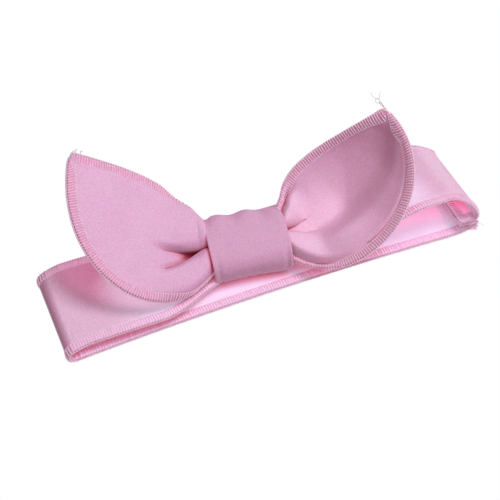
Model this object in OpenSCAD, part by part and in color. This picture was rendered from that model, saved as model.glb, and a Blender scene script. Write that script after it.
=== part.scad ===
// Knotted-bow hair band: a loop of double-ply crepe lying flat, a two-eared
// bow gathered on its front half and a plain wrap knotted round the middle.
// The loop's back half rests on the table; its underside is the origin plane.
// +X runs along the band, +Y across it and +Z up.

/* [Band] */
// From the origin to the middle of the left fold
half_length = 110; // [105:1:115]
// Width of the band
band_w = 51; // [48:1:53]
// Thickness of the band, two plies
cloth_t = 1.9; // [1.7:0.1:2]
// Radius of the left fold at the near edge
fold_r_near = 4.1; // [3.8:0.1:4.4]
// Radius of the left fold at the far edge
fold_r_far = 4.6; // [4.4:0.1:5]
// Height of the loop's right end at the near edge
mouth_h_near = 28; // [24:0.5:29]
// Height of the loop's right end at the far edge
mouth_h_far = 12.5; // [12:0.5:15]
// How far the front half lies off the back half, across the band, at the left
front_shift_left = 1.2; // [0:0.2:2]
// The same at the right
front_shift_right = 4.6; // [0:0.2:5]
// Sideways bow of the back half over its length
back_bow = 2.8; // [0:0.2:3]
// Height of the closing seam at the near edge
seam_h_near = 9.6; // [9:0.1:10]
// Height of the closing seam at the far edge
seam_h_far = 6; // [5.8:0.1:6.2]
// Length of the closing seam's allowance
allowance = 8; // [6:0.5:10]

/* [Overlock] */
// How far the overlock reaches in from an edge
overlock_w = 4; // [3:0.25:4.5]
// Depth of the thread layer on each face
thread_layer = 0.25; // [0.2:0.01:0.28]
// How far the edge loops stand out from the cloth
edge_loop = 0.5; // [0.3:0.05:0.7]

/* [Knot] */
// Place of the knot's middle along the band
knot_x = -6.5; // [-9:0.5:-4]
// Place of the knot's middle across the band
knot_y = 1; // [0:0.2:2]
// Height of the knot's middle
knot_z = 13.7; // [13.5:0.1:14.2]
// Turn of the knot and bow, seen from above
bow_yaw = -9; // [-10:0.5:-7]
// Length of the knot along the band
knot_len = 41.5; // [38:0.5:42]
// Width of the knot across the band, outside
knot_w = 38; // [37:0.5:40]
// Height of the knot, outside
knot_h = 21.6; // [21.2:0.2:22.4]
// Thickness of the folded wrap
wrap_t = 1.8; // [1.6:0.1:2]

/* [Ears] */
// Left ear's tip, from the knot's middle: away from it, across, up
left_tip = [83, 41, 62.8]; // [35:0.5:90]
// Right ear's tip, the same way
right_tip = [82.5, 37.5, 60]; // [35:0.5:90]
// How far the left ear's middle crowns out of its edges
left_crown = 2; // [0:0.5:4]
// How far the right ear's middle dips below its edges
right_dip = 7; // [4:0.5:8]

/* [Hidden] */

gap = 0.1;
half_w = band_w / 2;
half_t = cloth_t / 2;
rebate = half_t - thread_layer - 1.5 * gap;
rim = overlock_w + gap;
end_x_near = 115.3;
end_x_far = 113.2;
seam_bend_r = 1.6;
// The front half: gathered inside the knot, sinking to it from the left fold, rising to the right end
gathered_half_w = 12;
gathered_h = 8;
gather_start = 24;
gather_run = 26;
sink_run = 80;
rise_start_x = 28;
rise_run = 62;
mouth_start_x = 102;
// Runs over which the sideways place of the front half changes
shift_run = 60;
fold_run = 14;
// Where the back half's bow crosses the middle line, as a share of its depth
bow_middle = 0.68;
run_steps = 34;
back_steps = 12;
turn_steps = 8;
bend_steps = 4;
ear_steps = 32;
// Width of the slope between a ply's face and its rebate
rebate_slope = 0.2;
blush = [0.88, 0.69, 0.82];
rose = [0.93, 0.62, 0.76];
thread_pink = [0.91, 0.72, 0.80];

// ---------- small maths ----------
function mix(a, b, t) = a + (b - a) * t;
function smooth(t) = let (c = min(1, max(0, t))) c * c * (3 - 2 * c);
function unit(p) = p / norm(p);
function cubic(p, t) =
    let (s = 1 - t)
    s * s * s * p[0] + 3 * s * s * t * p[1] + 3 * s * t * t * p[2] + t * t * t * p[3];
function arc(centre, rx, rz, from, to, steps) =
    [for (i = [0 : steps]) let (a = mix(from, to, i / steps))
        [centre[0] + rx * cos(a), centre[1] + rz * sin(a)]];
function columns_to_rows(c) = [for (i = [0 : len(c[0]) - 1]) [for (j = [0 : len(c) - 1]) c[j][i]]];

// ---------- solids from grids and paths ----------
// Closed solid between two grids of points of one size
module sheet(top, bottom) {
    rows = len(top);
    cols = len(top[0]);
    points = concat([for (r = top) each r], [for (r = bottom) each r]);
    function t(i, j) = i * cols + j;
    function b(i, j) = (rows + i) * cols + j;
    function quad(p, q, r, s) = [[p, q, r], [p, r, s]];
    faces = concat(
        [for (i = [0 : rows - 2], j = [0 : cols - 2])
            each quad(t(i, j), t(i + 1, j), t(i + 1, j + 1), t(i, j + 1))],
        [for (i = [0 : rows - 2], j = [0 : cols - 2])
            each quad(b(i, j), b(i, j + 1), b(i + 1, j + 1), b(i + 1, j))],
        [for (i = [0 : rows - 2])
            each quad(t(i, 0), b(i, 0), b(i + 1, 0), t(i + 1, 0))],
        [for (i = [0 : rows - 2])
            each quad(t(i, cols - 1), t(i + 1, cols - 1), b(i + 1, cols - 1), b(i, cols - 1))],
        [for (j = [0 : cols - 2])
            each quad(t(0, j), t(0, j + 1), b(0, j + 1), b(0, j))],
        [for (j = [0 : cols - 2])
            each quad(t(rows - 1, j), b(rows - 1, j), b(rows - 1, j + 1), t(rows - 1, j + 1))]);
    polyhedron(points, faces, convexity = 6);
}

// Round thread of radius r along a path of points
module thread(path, r, sides = 6) {
    last = len(path) - 1;
    along = [for (i = [0 : last]) unit(path[min(i + 1, last)] - path[max(i - 1, 0)])];
    across = [for (i = [0 : last])
        unit(cross(along[i], abs(along[i][2]) < 0.9 ? [0, 0, 1] : [1, 0, 0]))];
    points = [for (i = [0 : last], k = [0 : sides - 1])
        let (a = 360 * k / sides, up = cross(along[i], across[i]))
        path[i] + r * (cos(a) * across[i] + sin(a) * up)];
    walls = [for (i = [0 : last - 1], k = [0 : sides - 1])
        let (n = (k + 1) % sides)
        each [[i * sides + k, (i + 1) * sides + k, (i + 1) * sides + n],
              [i * sides + k, (i + 1) * sides + n, i * sides + n]]];
    caps = [[for (k = [0 : sides - 1]) k],
            [for (k = [sides - 1 : -1 : 0]) last * sides + k]];
    polyhedron(points, concat(walls, caps), convexity = 4);
}

// ---------- the loop's profile at width position v, from -1 near to 1 far ----------
function span(near, far, v) = mix(near, far, (v + 1) / 2);
function fold_r(v) = span(fold_r_near, fold_r_far, v);
function seam_h(v) = span(seam_h_near, seam_h_far, v);
function mouth_h(v) = span(mouth_h_near, mouth_h_far, v);
function end_x(v) = span(end_x_near, end_x_far, v);

// Half width of the front half at x: full in the run, gathered in the knot
function front_half_w(x) =
    mix(gathered_half_w, half_w, smooth((abs(x - knot_x) - gather_start) / gather_run));
function front_h(x, v) = x < knot_x
    ? mix(half_t + 2 * fold_r(v), gathered_h, smooth((x + half_length) / sink_run))
    : mix(gathered_h, mouth_h(v), smooth((x - rise_start_x) / rise_run));

// Middle layer of the front half, as [x, z], from the left fold to the end of the allowance.
// An arc that follows another piece starts one step in, so that no point comes twice.
function front_profile(v) =
    let (r = fold_r(v), top = mouth_h(v), seam = seam_h(v), x_end = end_x(v))
    concat(
        arc([-half_length, half_t + r], r, r, 178, 90, turn_steps),
        [for (i = [1 : run_steps]) let (x = mix(-half_length, mouth_start_x, i / run_steps))
            [x, front_h(x, v)]],
        arc([mouth_start_x, seam + half_t + seam_bend_r],
            x_end - mouth_start_x, top - seam - half_t - seam_bend_r, 82, 0, turn_steps),
        arc([x_end - seam_bend_r, seam + half_t + seam_bend_r],
            seam_bend_r, seam_bend_r, -18, -90, bend_steps),
        [[x_end - seam_bend_r - allowance, seam + half_t + gap / 2]]);

// The same for the back half, which lies flat on the table
function back_profile(v) =
    let (r = fold_r(v), seam = seam_h(v), x_end = end_x(v),
         turn_x = mouth_start_x - 3, turn_top = seam - half_t - seam_bend_r)
    concat(
        arc([-half_length, half_t + r], r, r, 182, 270, turn_steps),
        [for (i = [1 : back_steps]) [mix(-half_length, turn_x, i / back_steps), half_t]],
        arc([turn_x, turn_top], x_end - turn_x, turn_top - half_t, 280, 360, turn_steps),
        arc([x_end - seam_bend_r, turn_top], seam_bend_r, seam_bend_r, 18, 90, bend_steps),
        [[x_end - seam_bend_r - allowance, seam - half_t - gap / 2]]);

// Points of a profile pushed d outwards, at y; side is 1 where the path runs clockwise
function pushed(profile, d, side) =
    let (last = len(profile) - 1)
    [for (i = [0 : last])
        let (a = profile[max(i - 1, 0)], b = profile[min(i + 1, last)], s = unit(b - a))
        profile[i] + d * side * [-s[1], s[0]]];

// Sideways place of the middle of each half at x
function back_shift(x) = back_bow * (bow_middle - pow(x / half_length, 2));
function front_shift(x) =
    let (run = mix(front_shift_left, front_shift_right, smooth(x / shift_run)),
         to_fold = smooth((half_length + fold_r_near - abs(x)) / fold_run),
         in_knot = knot_y + (x - knot_x) * tan(bow_yaw),
         from_knot = smooth((abs(x - knot_x) - gather_start) / gather_run))
    mix(in_knot, mix(back_shift(x), run, to_fold), from_knot);

// A line of points along each half, e across from its middle line and d off its middle layer
function across(e) = max(-1, min(1, e / half_w));
function front_column(e, d) =
    [for (p = pushed(front_profile(across(e)), d, 1))
        [p[0], front_shift(p[0]) + e * front_half_w(p[0]) / half_w, p[1]]];
function back_column(e, d) =
    [for (p = pushed(back_profile(across(e)), d, -1))
        [p[0], back_shift(p[0]) + e, p[1]]];

// Where a ply's columns lie across the band, and how thick it is there
full_w = half_w - rim - rebate_slope;
ply_columns = [
    [-half_w, true], [rim - half_w, true], [-full_w, false], [-half_w / 3, false],
    [half_w / 3, false], [full_w, false], [half_w - rim, true], [half_w, true]];
function face(in_rebate) = in_rebate ? rebate : half_t;

module front_ply(outer) {
    top = [for (c = ply_columns) front_column(c[0], outer ? face(c[1]) : -gap / 2)];
    bottom = [for (c = ply_columns) front_column(c[0], outer ? gap / 2 : -face(c[1]))];
    color(outer ? blush : rose) sheet(columns_to_rows(bottom), columns_to_rows(top));
}

module back_ply(outer) {
    top = [for (c = ply_columns) back_column(c[0], outer ? face(c[1]) : -gap / 2)];
    bottom = [for (c = ply_columns) back_column(c[0], outer ? gap / 2 : -face(c[1]))];
    color(outer ? blush : rose) sheet(columns_to_rows(top), columns_to_rows(bottom));
}

// Corners of the overlock's channel round an edge at e = half_w, outer then inner
function channel(outer) =
    let (face_d = outer ? half_t : half_t - thread_layer + gap / 2,
         edge = half_w + (outer ? edge_loop : gap / 2))
    [[half_w - overlock_w, face_d], [edge, face_d],
     [edge, -face_d], [half_w - overlock_w, -face_d]];

module front_overlock(side) {
    outer = [for (c = channel(true)) front_column(side * c[0], c[1])];
    inner = [for (c = channel(false)) front_column(side * c[0], c[1])];
    a = columns_to_rows(outer);
    b = columns_to_rows(inner);
    color(thread_pink) if (side < 0) sheet(a, b); else sheet(b, a);
}

module back_overlock(side) {
    outer = [for (c = channel(true)) back_column(side * c[0], c[1])];
    inner = [for (c = channel(false)) back_column(side * c[0], c[1])];
    a = columns_to_rows(outer);
    b = columns_to_rows(inner);
    color(thread_pink) if (side < 0) sheet(b, a); else sheet(a, b);
}

module back_outer_ply() { back_ply(true); }
module back_inner_ply() { back_ply(false); }
module back_near_overlock() { back_overlock(-1); }
module back_far_overlock() { back_overlock(1); }
module front_outer_ply() { front_ply(true); }
module front_inner_ply() { front_ply(false); }
module front_near_overlock() { front_overlock(-1); }
module front_far_overlock() { front_overlock(1); }

// ---------- closing seam ----------
// Thread layer along the free edge of the two turned-in ends
module closing_seam_overlock() {
    inset = 1;
    columns = [for (side = [-1, 1])
        let (e = side * (half_w - inset), v = across(e),
             x = end_x(v) - seam_bend_r - allowance - gap, z = seam_h(v), y = back_shift(x) + e)
        [[x, y, z - cloth_t], [x - edge_loop, y, z - cloth_t],
         [x - edge_loop, y, z + cloth_t + gap], [x, y, z + cloth_t + gap]]];
    color(thread_pink) sheet(
        [[columns[0][0], columns[1][0]], [columns[0][3], columns[1][3]]],
        [[columns[0][1], columns[1][1]], [columns[0][2], columns[1][2]]]);
}

// Loops of chained thread left at the near end of the closing seam
module closing_seam_thread_tail() {
    thread_r = 0.3;
    loops = 3;
    steps = 10;
    loop_r = 2;
    loop_depth = 1.4;
    drop = 3.4;
    rise = 1.3;
    start = [end_x_near - seam_bend_r, -half_w - 2, seam_h_near];
    color(thread_pink) for (k = [0 : loops - 1])
        translate(start + [3 * k - 4, -k, -drop * k])
            thread([for (i = [0 : steps]) let (a = 360 * i / steps)
                [loop_r * sin(a), -loop_depth * (1 - cos(a)) / 2, rise * sin(a / 2)]], thread_r);
}

// ---------- knot ----------
module in_bow_frame() { translate([knot_x, knot_y, 0]) rotate([0, 0, bow_yaw]) children(); }

// Point of the knot's rounded-square section at angle a, for half sizes w and h
roundness = 2.6;
function knot_point(a, w, h) =
    let (power = 2 / roundness, c = cos(a), s = sin(a))
    [w * sign(c) * pow(abs(c), power), h * sign(s) * pow(abs(s), power)];

module knot_wrap() {
    stations = 9;
    turns = 40;
    open_angle = 3;
    flare = 0.6;
    edge_round = 0.7;
    function ring(i, inset) =
        let (f = 2 * i / (stations - 1) - 1, x = f * knot_len / 2,
             round_in = edge_round * pow(abs(f), 8) * inset / wrap_t,
             w = knot_w / 2 - flare * (1 - f * f) - inset)
        [for (k = [0 : turns])
            let (a = mix(-90 + open_angle, 270 - open_angle, k / turns),
                 p = knot_point(a, w, knot_h / 2 - inset))
            [x - sign(f) * round_in, p[0], knot_z + p[1]]];
    color(blush) in_bow_frame()
        sheet([for (i = [0 : stations - 1]) ring(i, 0)],
              [for (i = [0 : stations - 1]) ring(i, wrap_t)]);
}

// Whip stitches that close the wrap into a ring on its underside
module knot_closing_stitches() {
    stitch_r = 0.22;
    stitch_len = 4;
    slant = 0.6;
    pitch = 3;
    row = 36;
    sag = 0.05;
    z = knot_z - knot_h / 2 - stitch_r - gap;
    color(thread_pink) in_bow_frame() for (x = [-row / 2 : pitch : row / 2])
        thread([[x - slant, -stitch_len / 2, z], [x, 0, z - sag], [x + slant, stitch_len / 2, z]],
            stitch_r);
}

// ---------- gathered middle of the bow ----------
waist_half_w = 11.6;
waist_half_h = 4.2;
waist_z = 15.6;
waist_len = 34;
pleats = 9;
pleat_depth = 0.18;

module bow_waist() {
    steps = 72;
    color(rose) in_bow_frame() translate([-waist_len / 2, 0, waist_z])
        rotate([90, 0, 90]) linear_extrude(waist_len)
            polygon([for (k = [0 : steps - 1])
                let (a = 360 * k / steps, tuck = pleat_depth * (1 + cos(pleats * a)) / 2)
                [waist_half_w * cos(a), waist_half_h * sin(a)] * (1 - tuck)]);
}

module waist_gathering_thread() {
    r = 0.3;
    winds = 3;
    steps = 28;
    spread = 4;
    out = r + 1.5 * gap;
    color(thread_pink) in_bow_frame() thread([for (i = [0 : winds * steps])
        let (a = 360 * i / steps)
        [spread * (i / (winds * steps) - 0.5),
         (waist_half_w + out) * cos(a), waist_z + (waist_half_h + out) * sin(a)]], r);
}

// ---------- ears ----------
// An ear is [lower edge, upper edge, crown]; each edge is a curve from root to tip
left_ear = [
    [[23, -12, 12.6], [46, -47.5, 5.3], [106.5, -27, 50], left_tip],
    [[23, 12.3, 17.8], [28, 42.3, 21.8], [59.7, 38.3, 47.6], left_tip],
    left_crown];
right_ear = [
    [[23.3, -11.8, 12.7], [42, -45, 5.6], [111.7, -22.2, 53], right_tip],
    [[23, 12.7, 18], [20, 43.3, 21.6], [59.7, 35.4, 45.5], right_tip],
    -right_dip];
// The share of its length at which an ear's cloth ends, and the way its face looks
ear_end = 0.985;
outward = [-0.44, -0.33, 0.84];
// The most of an ear's width that an overlock may take, near the narrow tip
widest_share = 0.42;

function ear_width(ear, u) = norm(cubic(ear[1], u) - cubic(ear[0], u));
function ear_mid(ear, u, t) =
    let (rise = ear[2] * smooth(4 * u) * smooth(3 * (1 - u)))
    mix(cubic(ear[0], u), cubic(ear[1], u), t) + 4 * t * (1 - t) * rise * outward;
function ear_point(ear, u, t, d) =
    let (du = ear_mid(ear, u + 0.01, t) - ear_mid(ear, u - 0.01, t),
         dt = ear_mid(ear, u, t + 0.02) - ear_mid(ear, u, t - 0.02))
    ear_mid(ear, u, t) + d * unit(cross(du, dt));

// Stations along an ear, closer together at its twisted root
ear_rows = [for (i = [0 : ear_steps]) ear_end * pow(i / ear_steps, 1.3)];
// Share of the ear's width that a distance e from its edge takes, held short of the middle
function share(ear, e, u) = min(e / ear_width(ear, u), widest_share);
// Where a ply's columns lie across an ear, and whether each is in the rebate
function ear_columns(ear, u) =
    let (cut = share(ear, 3 * gap, u), in = share(ear, rim, u),
         past = share(ear, rim + rebate_slope, u) + 0.004, centre = (1 + widest_share) / 3)
    [[cut, true], [in, true], [past, false], [centre, false],
     [1 - centre, false], [1 - past, false], [1 - in, true], [1 - cut, true]];

module ear_ply(ear, front) {
    function row(u, outside) = [for (c = ear_columns(ear, u))
        let (d = outside ? face(c[1]) : gap / 2) ear_point(ear, u, c[0], front ? d : -d)];
    a = [for (u = ear_rows) row(u, true)];
    b = [for (u = ear_rows) row(u, false)];
    if (front) sheet(b, a); else sheet(a, b);
}

// Channel of thread round one edge of an ear; upper says which edge
module ear_channel(ear, upper) {
    function at(u, c) =
        let (e = half_w - c[0], s = e < 0 ? e / ear_width(ear, u) : share(ear, e, u))
        ear_point(ear, u, upper ? 1 - s : s, c[1]);
    a = [for (u = ear_rows) [for (c = channel(true)) at(u, c)]];
    b = [for (u = ear_rows) [for (c = channel(false)) at(u, c)]];
    if (upper) sheet(b, a); else sheet(a, b);
}

module ear_overlock(ear) {
    ear_channel(ear, false);
    ear_channel(ear, true);
}

module on_side(side) { in_bow_frame() mirror([side < 0 ? 1 : 0, 0, 0]) children(); }

module left_ear_front_ply() { color(blush) on_side(-1) ear_ply(left_ear, true); }
module left_ear_back_ply() { color(blush) on_side(-1) ear_ply(left_ear, false); }
module left_ear_overlock() { color(thread_pink) on_side(-1) ear_overlock(left_ear); }
module right_ear_front_ply() { color(blush) on_side(1) ear_ply(right_ear, true); }
module right_ear_back_ply() { color(blush) on_side(1) ear_ply(right_ear, false); }
module right_ear_overlock() { color(thread_pink) on_side(1) ear_overlock(right_ear); }

// A loose end: it leaves along way and bends towards droop, over steps of about a millimetre
module loose_end(way, droop, steps, r) {
    thread([for (i = [0 : steps]) i * way + i * i * droop], r);
}

// Short cut ends of thread fanning out of the left tip
module left_tip_thread_tail() {
    spread = 0.5;
    color(thread_pink) on_side(-1) for (k = [-1 : 1])
        translate(left_tip + [1, 0.8 * k, 1])
            loose_end([1.1 - 0.22 * k, spread * k, 0.9], [0, 0, -0.1 * k], 5, 0.22);
}

// Chained thread ending in a ring, and one loose strand, at the right tip
module right_tip_thread_tail() {
    ring_r = 1.3;
    ring_steps = 12;
    color(thread_pink) on_side(1) translate(right_tip + [0.5, 1, 1.5]) {
        loose_end([-0.5, 0.4, 0.9], [0, 0, -0.05], 8, 0.3);
        translate([-4.6, 3.9, 5.6]) thread([for (i = [0 : ring_steps]) let (a = 336 * i / ring_steps)
            [-ring_r * (1 - cos(a)), 0.3 * sin(a), ring_r * sin(a)]], 0.22);
        translate([1, 0.5, 0]) loose_end([0.2, 0.5, 1.2], [0, 0, -0.08], 7, 0.2);
    }
}

back_outer_ply();
back_inner_ply();
back_near_overlock();
back_far_overlock();
front_outer_ply();
front_inner_ply();
front_near_overlock();
front_far_overlock();
closing_seam_overlock();
closing_seam_thread_tail();
knot_wrap();
knot_closing_stitches();
bow_waist();
waist_gathering_thread();
left_ear_front_ply();
left_ear_back_ply();
left_ear_overlock();
left_tip_thread_tail();
right_ear_front_ply();
right_ear_back_ply();
right_ear_overlock();
right_tip_thread_tail();
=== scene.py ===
"""Looks of the knotted-bow hair band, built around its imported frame.

Shapes are worked out in millimetres and in the frame's own axes, then written in metres. The cloth is
one double sheet that runs round the whole loop, a wrap round the middle and two ears; every raw edge
carries a real overlock of thread.
"""

import math

import bpy
import numpy as np
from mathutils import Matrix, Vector


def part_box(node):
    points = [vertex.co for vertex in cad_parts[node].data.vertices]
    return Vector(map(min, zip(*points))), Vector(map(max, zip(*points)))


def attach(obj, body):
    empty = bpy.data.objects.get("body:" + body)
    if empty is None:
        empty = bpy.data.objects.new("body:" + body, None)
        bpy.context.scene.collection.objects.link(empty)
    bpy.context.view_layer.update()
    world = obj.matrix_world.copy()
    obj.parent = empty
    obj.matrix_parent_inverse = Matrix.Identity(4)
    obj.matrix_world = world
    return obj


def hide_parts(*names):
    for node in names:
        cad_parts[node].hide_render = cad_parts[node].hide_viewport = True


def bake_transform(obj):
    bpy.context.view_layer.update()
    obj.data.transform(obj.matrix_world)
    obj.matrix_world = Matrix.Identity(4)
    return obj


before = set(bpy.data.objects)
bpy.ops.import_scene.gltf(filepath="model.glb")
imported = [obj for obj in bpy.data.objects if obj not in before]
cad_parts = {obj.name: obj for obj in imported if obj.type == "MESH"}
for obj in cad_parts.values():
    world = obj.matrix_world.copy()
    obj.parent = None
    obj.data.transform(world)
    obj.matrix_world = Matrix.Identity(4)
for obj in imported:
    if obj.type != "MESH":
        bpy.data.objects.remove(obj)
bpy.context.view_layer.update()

MM = 0.001


def node_box(*names):
    """Lowest and highest corner of some CAD nodes together, in millimetres."""
    lows = [np.array(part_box(n)[0]) for n in names]
    highs = [np.array(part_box(n)[1]) for n in names]
    return np.min(lows, 0) / MM, np.max(highs, 0) / MM


# ---------- sizes, in millimetres ----------
# A pair of heights, radii or ends holds the value at the band's near edge and the one at its far edge.
CLOTH_T = 1.9              # thickness of one double cloth
HALF_T = CLOTH_T / 2
HALF_W = 25.5              # half the band's width
FOLD_R = (4.1, 4.6)        # radius of the left fold
MOUTH_H = (28, 12.5)       # height of the front half where it turns down at the right
SEAM_H = (9.6, 6)          # height of the closing seam
END_SLANT = 2.1            # how much shorter the loop is at its far edge
TURN_LEN = 13.3            # length of the turn at the loop's right end
ALLOWANCE = 8              # cloth turned in at the closing seam
SEAM_BEND = 1.6            # radius of the bend where it turns in
BACK_BOW = 2.8             # how much the back half curves, seen from above
FRONT_SHIFT = (1.2, 4.6)   # how far the front half lies to the far side, left and right of the knot
GATHERED_W = 12            # half the front half's width inside the knot
GATHERED_H = 8             # its height there
OVERLOCK_W = 4.0           # from the edge to the row of needle stitches
STITCH_PITCH = 1.45
LOOPER_R = 0.27            # radii of the three kinds of overlock thread
CHAIN_R = 0.30
NEEDLE_R = 0.21
BOW_YAW = math.radians(-9)  # the bow lies a little askew on the band
KNOT_LEN = 41.5            # the wrap's length along the bow
KNOT_W = 38                # its depth across the bow
KNOT_HEM_T = 1.8           # thickness of its folded edges

# Where the cloth beside an edge is sampled, in from that edge
STRIP_DEPTHS = np.arange(6.0)
# Mesh attribute: 1 on cloth under an overlock, 0 elsewhere
UNDER_THREAD = "under_thread"

band_low, band_high = node_box("front_outer_ply", "back_outer_ply")
knot_low, knot_high = node_box("knot_wrap")
waist_low, waist_high = node_box("bow_waist")
KNOT = (knot_low + knot_high) / 2
KNOT_H = knot_high[2] - knot_low[2]
WAIST_Z = (waist_low[2] + waist_high[2]) / 2
FOLD_X = band_low[0] + HALF_T + FOLD_R[1]
END_X = (band_high[0] - HALF_T, band_high[0] - HALF_T - END_SLANT)
TURN_X = END_X[0] - TURN_LEN


# ---------- small maths ----------
def mix(a, b, t):
    return a + (b - a) * t


def smooth(t):
    """0 below 0, 1 above 1, and a smooth step between."""
    t = np.clip(t, 0, 1)
    return t * t * (3 - 2 * t)


def hill(t):
    """1 at 0, falling smoothly to 0 at -1 and 1."""
    return smooth(1 - np.abs(t))


def unit(v):
    return v / np.maximum(np.linalg.norm(v, axis=-1, keepdims=True), 1e-9)


def span(pair, v):
    """Between the near and the far value of a pair, at v from -1 to 1."""
    return mix(pair[0], pair[1], (v + 1) / 2)


def soft_positive(a, rounding):
    """a where it is well above 0, falling softly to 0 where it is below."""
    return (a + np.sqrt(a * a + rounding)) / 2


def cubic(p, t):
    """Points at t, 0 to 1, on the cubic curve of four control points p."""
    t = np.asarray(t, float)[..., None]
    s = 1 - t
    p = np.array(p, float)
    return s ** 3 * p[0] + 3 * s * s * t * p[1] + 3 * s * t * t * p[2] + t ** 3 * p[3]


def grid_normals(points):
    """Normals of a grid of points, along rows x columns."""
    return unit(np.cross(np.gradient(points, axis=0), np.gradient(points, axis=1)))


# ---------- meshes ----------
def add_object(name, data):
    thing = bpy.data.objects.new(name, data)
    bpy.context.scene.collection.objects.link(thing)
    return thing


def make_piece(name, points, faces, material):
    """A mesh object from points in millimetres."""
    mesh = bpy.data.meshes.new(name)
    mesh.from_pydata((np.asarray(points) * MM).tolist(), [], faces)
    mesh.update()
    mesh.polygons.foreach_set("use_smooth", [True] * len(mesh.polygons))
    mesh.materials.append(material)
    return add_object(name, mesh)


def grid_quads(rows, cols, closed_rows, closed_cols):
    """Quads over a grid of rows x cols points, each way closed round on itself or open."""
    i, j = np.meshgrid(np.arange(rows - 1 + closed_rows), np.arange(cols - 1 + closed_cols), indexing="ij")
    a, b = (i + 1) % rows, (j + 1) % cols
    return np.stack([i * cols + j, a * cols + j, a * cols + b, i * cols + b], -1).reshape(-1, 4)


def ring_faces(rows, cols, start=0, flip=False):
    """Faces of a tube of rows rings with cols points each, capped at both ends."""
    quads = grid_quads(rows, cols, False, True)[:, [0, 3, 2, 1]] + start
    caps = [list(range(start + cols - 1, start - 1, -1)),
            list(range(start + (rows - 1) * cols, start + rows * cols))]
    faces = quads.tolist() + caps
    return [f[::-1] for f in faces] if flip else faces


def tubes(name, paths, material):
    """Round threads: each path is (points, radius, a reference direction per point or one for all)."""
    sides = 6
    angles = np.arange(sides)[None, :, None] * 2 * np.pi / sides
    cosines, sines = np.cos(angles), np.sin(angles)
    points, faces, start = [], [], 0
    for path, radius, reference in paths:
        along = unit(np.gradient(path, axis=0))
        across = unit(np.cross(along, reference))
        up = np.cross(along, across)
        radius = np.broadcast_to(radius, len(path))[:, None, None]
        spokes = cosines * across[:, None] + sines * up[:, None]
        rings = path[:, None] + radius * spokes
        points.append(rings.reshape(-1, 3))
        faces += ring_faces(len(path), sides, start)
        start += len(path) * sides
    return make_piece(name, np.concatenate(points), faces, material)


def round_both_faces(top, bottom):
    """Columns of one face and then those of the other, backwards and without its two edge columns."""
    return np.concatenate([top, bottom[:, -2:0:-1]], axis=1)


def sheet(name, middle, normals, depth, material, puff=0.0, flip=False):
    """A cloth with its thickness, from a grid of points of its middle layer, edge to edge. depth, in from
    the nearer edge, also tells the material where the overlock runs."""
    offset = normals * half_thickness(depth, puff)[..., None]
    rings = round_both_faces(middle + offset, middle - offset)
    faces = ring_faces(*rings.shape[:2], flip=flip)
    piece = make_piece(name, rings.reshape(-1, 3), faces, material)
    depth = np.broadcast_to(depth, middle.shape[:2])
    under = smooth((OVERLOCK_W + 0.3 - round_both_faces(depth, depth)) / 0.6)
    attribute = piece.data.attributes.new(UNDER_THREAD, "FLOAT", "POINT")
    attribute.data.foreach_set("value", under.ravel())
    return piece


def edge_columns(width, inner_count):
    """Distances across a cloth of this width, closer together at its rounded edges."""
    width = np.asarray(width, float)[..., None]
    near = np.array([0, 0.06, 0.2, 0.45, 0.8, 1.3, 2.0, 2.8, 3.5, 4.0, 4.4, 4.9])
    most_near = width / 3.4
    near = near * np.minimum(1, most_near / near[-1])
    inner = mix(near[..., -1:], width - near[..., -1:], np.linspace(0, 1, inner_count + 2)[1:-1])
    return np.concatenate([near, inner, width - near[..., ::-1]], axis=-1)


def half_thickness(e, puff):
    """Half the cloth's thickness at e in from an edge: rounded, pressed by the overlock, then puffed."""
    rounded = np.sqrt(np.clip(1 - (1 - np.clip(e / 0.8, 0, 1)) ** 2, 0, 1))
    by_needle_row = 0.13 * hill((e - OVERLOCK_W) / 0.8)
    by_rungs = 0.06 * (e < OVERLOCK_W)
    return HALF_T * rounded * (1 - by_needle_row - by_rungs) + puff * smooth((e - 5) / 14)


# ---------- overlock ----------
class Strip:
    """The cloth beside an edge: points and normals on a grid of stations x STRIP_DEPTHS."""

    def __init__(self, points, normals):
        lengths = np.linalg.norm(np.diff(points[:, 0], axis=0), axis=1)
        self.travel = np.concatenate([[0], np.cumsum(lengths)])
        self.points = points
        self.normals = normals

    def _sample(self, grid, s, e):
        """Values of a grid at travel s along the edge and e in from it."""
        row = np.interp(s, self.travel, np.arange(len(self.travel)))
        col = np.interp(e, STRIP_DEPTHS, np.arange(len(STRIP_DEPTHS)))
        i = np.minimum(row.astype(int), len(self.travel) - 2)
        j = np.minimum(col.astype(int), len(STRIP_DEPTHS) - 2)
        fi = (row - i)[:, None]
        fj = (col - j)[:, None]
        low = mix(grid[i, j], grid[i, j + 1], fj)
        high = mix(grid[i + 1, j], grid[i + 1, j + 1], fj)
        return mix(low, high, fi)

    def at(self, s, e, d):
        """Points at travel s along the edge, e in from it and d off the middle layer."""
        normal = unit(self._sample(self.normals, s, e))
        base = self._sample(self.points, s, e)
        outward = unit(self._sample(self.points, s, 0 * e) - self._sample(self.points, s, 0 * e + 1.0))
        return base + normal * d[:, None] + outward * np.maximum(-e, 0)[:, None]

    def tangent(self, s):
        """Direction of the edge at travel s."""
        step = 0.4
        ahead = self._sample(self.points, s + step, 0 * s)
        behind = self._sample(self.points, s - step, 0 * s)
        return unit(ahead - behind)


# The looper thread from its needle row to the very edge: share of its whole turn, distance in from the
# edge, and height over the cloth's middle; it comes back the same way on the other face
LOOPER_HALF = [(0, 4.05, 0.55), (0.05, 3.95, 1.0), (0.16, 3.1, 1.12), (0.28, 1.9, 1.14), (0.38, 0.8, 1.12),
               (0.45, -0.02, 0.85)]
LOOPER_BACK = [(1 - share, e, -d) for share, e, d in reversed(LOOPER_HALF)]
LOOPER_TURN = np.array([*LOOPER_HALF, (0.5, -0.3, 0), *LOOPER_BACK])


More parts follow.
